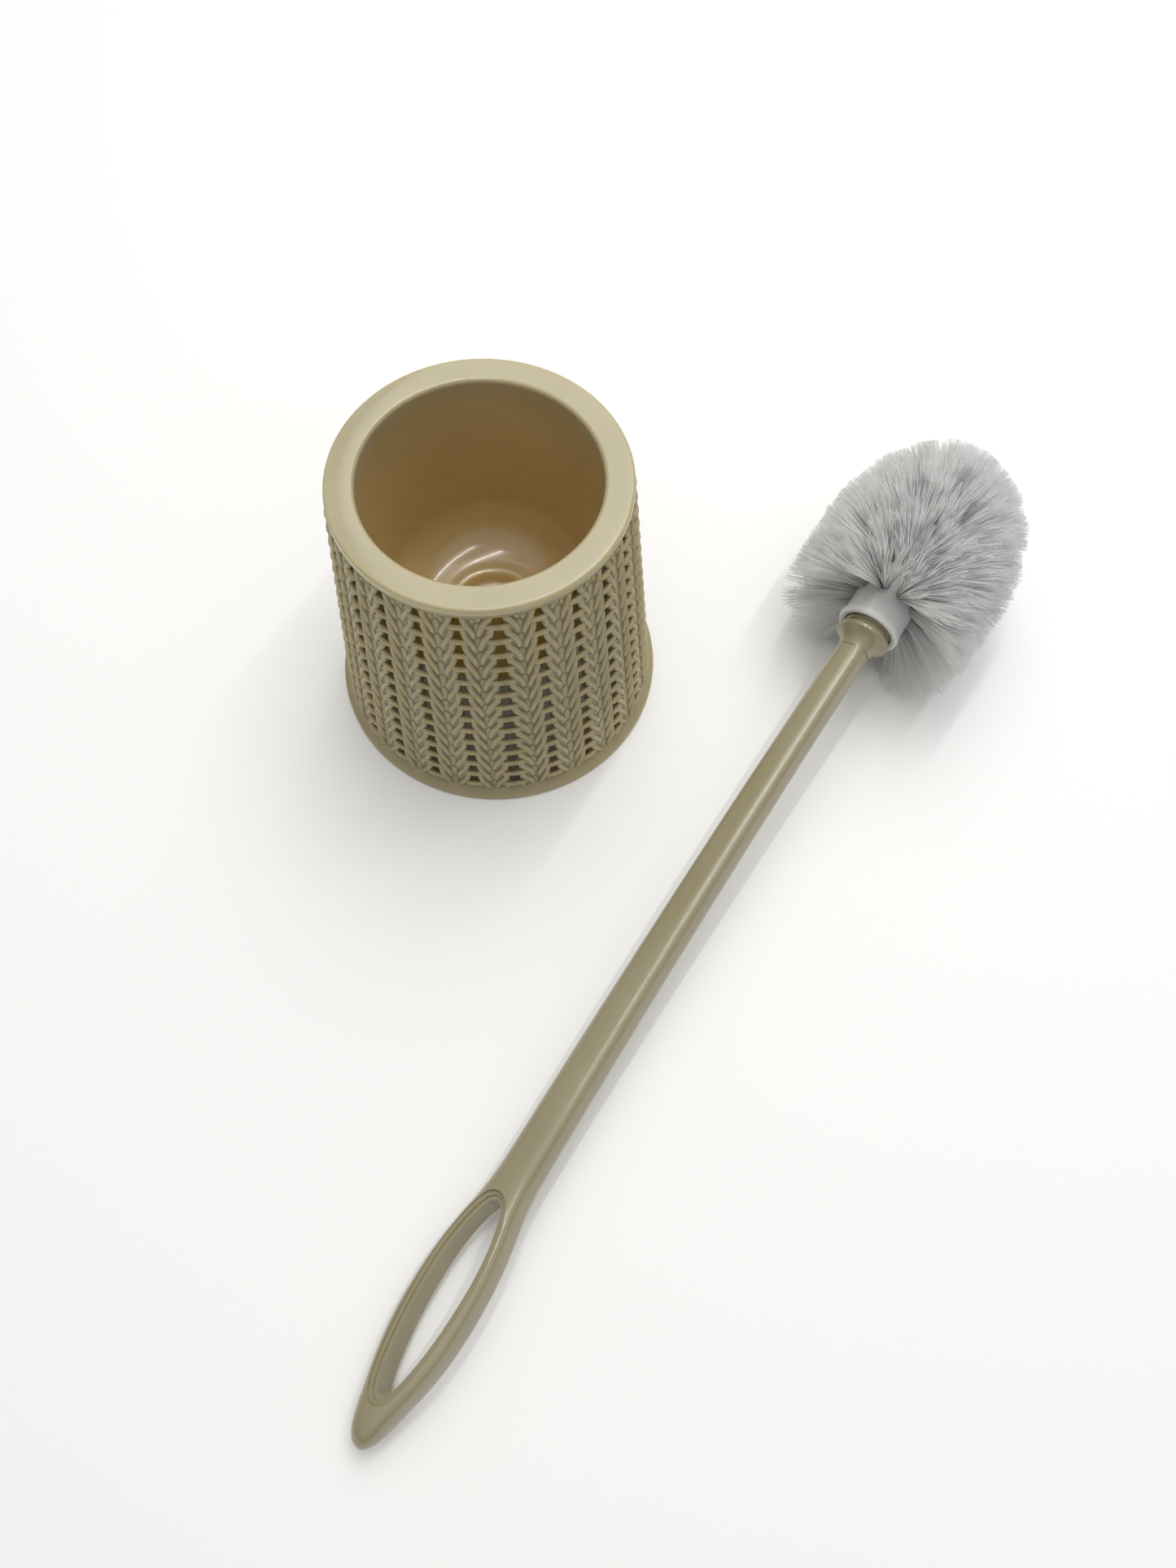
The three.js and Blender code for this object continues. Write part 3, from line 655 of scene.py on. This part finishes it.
drill_points, drill_faces = [], []
for name, root, along, reach in tufts:
    ends = [root - along * hole_depth, root + along * hole_depth]
    tube(drill_points, drill_faces, ends, [hole_radius] * 2, sides=12, outward=along.orthogonal())
drill_mesh = bpy.data.meshes.new("drills")
drill_mesh.from_pydata([(head_place @ p) * mm for p in drill_points], [], drill_faces)
drills = bpy.data.objects.new("drills", drill_mesh)
bpy.context.scene.collection.objects.link(drills)
cut_away(core, drills)
core.data.shade_smooth()
core.data.set_sharp_from_angle(angle=math.radians(40))

# ---- Tufts ----
# Fine white filaments, folded over a wire anchor and punched into the core's holes in bundles.
# They splay from the root into soft fans that part into clumps, and are cut to a rounded outline.
filament_radius = 0.115
tip_thinning = 0.35
filament_segments = 4
filaments_per_tuft = 360
clumps_per_tuft = 10
fan_around = 17.0
fan_along = 11.0
tuft_hollow = 0.12
bundle_radius = 1.5
root_depth = 2.5
tuft_sway = 0.10
filament_waver = 0.4
trim_radius, trim_middle, trim_front, trim_back = 37.5, 338.0, 52.0, 95.0
ground_gap = 0.25

bristle = plastic("white_filament", (0.97, 0.975, 0.975), 0.6, mottle=0.05, grain=0.004, depth=0.0)
bristle_nodes, bristle_links = bristle.node_tree.nodes, bristle.node_tree.links
see_through = bristle_nodes.new("ShaderNodeBsdfTranslucent")
see_through.inputs["Color"].default_value = (0.985, 0.99, 0.985, 1)
blend = bristle_nodes.new("ShaderNodeMixShader")
blend.inputs["Fac"].default_value = 0.7
bristle_links.new(bristle_nodes["Principled BSDF"].outputs["BSDF"], blend.inputs[1])
bristle_links.new(see_through.outputs["BSDF"], blend.inputs[2])
bristle_links.new(blend.outputs["Shader"], bristle_nodes["Material Output"].inputs["Surface"])
dice = random.Random(11)


def in_disc(hollow=0.0):
    radius, angle = hollow + (1 - hollow) * math.sqrt(dice.random()), 2 * math.pi * dice.random()
    return radius * math.cos(angle), radius * math.sin(angle)


def trimmed_length(root, direction):
    """How far a filament runs from its root to the rounded outline the head is cut to."""
    end_reach = trim_front if direction.y > 0 or root.y > trim_middle else trim_back
    squash = Vector((1 / trim_radius, 1 / end_reach, 1 / trim_radius))
    p = Vector((root.x, root.y - trim_middle, root.z)) * squash
    d = direction * squash
    a, b, c = d.dot(d), p.dot(d), p.dot(p) - 1
    return (-b + math.sqrt(b * b - a * c)) / a


for name, root, along, reach in tufts:
    lean_a, lean_b = in_disc()
    side = along.cross(Vector((0, 1, 0))).normalized()
    rise = side.cross(along)
    heading = (along + side * tuft_sway * lean_a + rise * tuft_sway * lean_b).normalized()
    clumps = [in_disc(tuft_hollow) + (0.95 + 0.07 * dice.random(),) for _ in range(clumps_per_tuft)]
    across, over = head_place.to_3x3() @ side, head_place.to_3x3() @ rise
    points, faces = [], []
    for _ in range(filaments_per_tuft):
        a, b = in_disc(tuft_hollow)
        nearest = min(clumps, key=lambda c: (c[0] - a) ** 2 + (c[1] - b) ** 2)
        pull = 0.1 + 0.25 * dice.random()
        tip_a = a + (nearest[0] - a) * pull
        tip_b = b + (nearest[1] - b) * pull
        direction = (heading * reach + side * tip_a * fan_around + rise * tip_b * fan_along).normalized()
        length = trimmed_length(root, direction) * nearest[2] * (1 - 0.12 * dice.random() ** 3)
        start = len(points)
        stray_a, stray_b = dice.gauss(0, filament_waver), dice.gauss(0, filament_waver)
        for k in range(filament_segments + 1):
            t = k / filament_segments
            if k == 0:
                point = root - along * root_depth + (side * a + rise * b) * bundle_radius
            else:
                waver = side * stray_a * t * t + rise * stray_b * t * t
                spread = (side * a + rise * b) * bundle_radius * (1 - t)
                point = root + spread + direction * length * t + waver
            middle = head_place @ point
            if middle.z < ground_gap:
                middle.z = ground_gap + 0.6 * dice.random()
            radius = filament_radius * (1 - tip_thinning * t)
            for corner in range(3):
                angle = 2 * math.pi * corner / 3 + a
                points.append(middle + across * radius * math.cos(angle) + over * radius * math.sin(angle))
        for k in range(filament_segments):
            for corner in range(3):
                p, q = start + 3 * k + corner, start + 3 * k + (corner + 1) % 3
                faces.append((p, q, q + 3, p + 3))
        faces.append((start + 2, start + 1, start))
        end = start + 3 * filament_segments
        faces.append((end, end + 1, end + 2))
    piece("bristles_" + name, points, faces, bristle, "head", ["tuft_" + name],
          Matrix.Identity(4), 180)

# ---- Floor, light and camera ----
# Not part of the object: a plain pale floor, soft overhead panels and the viewing camera.
floor_mesh = bpy.data.meshes.new("floor")
floor_half = 6.0
floor_corners = [(-floor_half, -floor_half, 0), (floor_half, -floor_half, 0),
                 (floor_half, floor_half, 0), (-floor_half, floor_half, 0)]
floor_mesh.from_pydata(floor_corners, [], [(0, 1, 2, 3)])
floor = bpy.data.objects.new("floor", floor_mesh)
bpy.context.scene.collection.objects.link(floor)
floor_paint = bpy.data.materials.new("floor_paint")
floor_paint.use_nodes = True
floor_shader = floor_paint.node_tree.nodes["Principled BSDF"]
floor_shader.inputs["Base Color"].default_value = (0.96, 0.96, 0.96, 1)
floor_shader.inputs["Roughness"].default_value = 0.8
floor_mesh.materials.append(floor_paint)
floor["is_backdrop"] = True

world = bpy.data.worlds.new("room")
world.use_nodes = True
sky_nodes, sky_links = world.node_tree.nodes, world.node_tree.links
sky_direction = sky_nodes.new("ShaderNodeTexCoord")
split = sky_nodes.new("ShaderNodeSeparateXYZ")
brightness = sky_nodes.new("ShaderNodeMapRange")
brightness.inputs["From Min"].default_value = 0.0
brightness.inputs["From Max"].default_value = 1.0
brightness.inputs["To Min"].default_value = 0.12
brightness.inputs["To Max"].default_value = 1.0
steep = sky_nodes.new("ShaderNodeMath")
steep.operation = "MULTIPLY"
sky_links.new(sky_direction.outputs["Generated"], split.inputs["Vector"])
sky_links.new(split.outputs["Z"], steep.inputs[0])
sky_links.new(split.outputs["Z"], steep.inputs[1])
sky_links.new(steep.outputs["Value"], brightness.inputs["Value"])
sky_links.new(brightness.outputs["Result"], sky_nodes["Background"].inputs["Strength"])
sky_nodes["Background"].inputs["Color"].default_value = (1.0, 0.99, 0.97, 1)
bpy.context.scene.world = world


def panel(name, place, aim, width, length, watts, colour=(1, 1, 1)):
    data = bpy.data.lights.new(name, "AREA")
    data.shape = "RECTANGLE"
    data.size, data.size_y = width, length
    data.energy = watts
    data.color = colour
    lamp = bpy.data.objects.new(name, data)
    bpy.context.scene.collection.objects.link(lamp)
    lamp.location = place
    lamp.rotation_euler = (Vector(aim) - Vector(place)).to_track_quat("-Z", "Y").to_euler()


panel("overhead", (-0.25, 0.65, 1.1), (0, 0, 0.05), 0.9, 0.9, 4.5, (1.0, 0.98, 0.95))
panel("tube_left", (-0.18, 0.45, 1.5), (-0.18, 0.4, 0), 0.016, 1.1, 4)
panel("tube_right", (0.34, 0.45, 1.5), (0.34, 0.4, 0), 0.016, 1.1, 4)

camera_data = bpy.data.cameras.new("camera")
camera_data.sensor_width = 36.0
camera_data.lens = 27.03
camera_data.clip_start = 0.01
camera = bpy.data.objects.new("camera", camera_data)
bpy.context.scene.collection.objects.link(camera)
camera_bearing = math.radians(31.06)
down = math.radians(66.198)
tilt = math.radians(1.795)
level = Matrix.Rotation(camera_bearing, 3, "Z")
look = level @ Vector((0, math.cos(down), -math.sin(down)))
right = level @ Vector((1, 0, 0))
up = right.cross(look)
camera_right = right * math.cos(tilt) + up * math.sin(tilt)
camera_up = up * math.cos(tilt) - right * math.sin(tilt)
turn = Matrix((camera_right, camera_up, -look)).transposed().to_4x4()
camera.matrix_world = Matrix.Translation(holder_axis + level @ Vector((0.0352, -0.2244, 0.3929))) @ turn
bpy.context.scene.camera = camera
bpy.context.scene.view_settings.view_transform = "Standard"
bpy.context.scene.cycles.caustics_reflective = False
bpy.context.scene.cycles.max_bounces = 24
bpy.context.scene.cycles.diffuse_bounces = 20
bpy.context.scene.cycles.transmission_bounces = 20
bpy.context.scene.cycles.sample_clamp_indirect = 3.0

low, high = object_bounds()
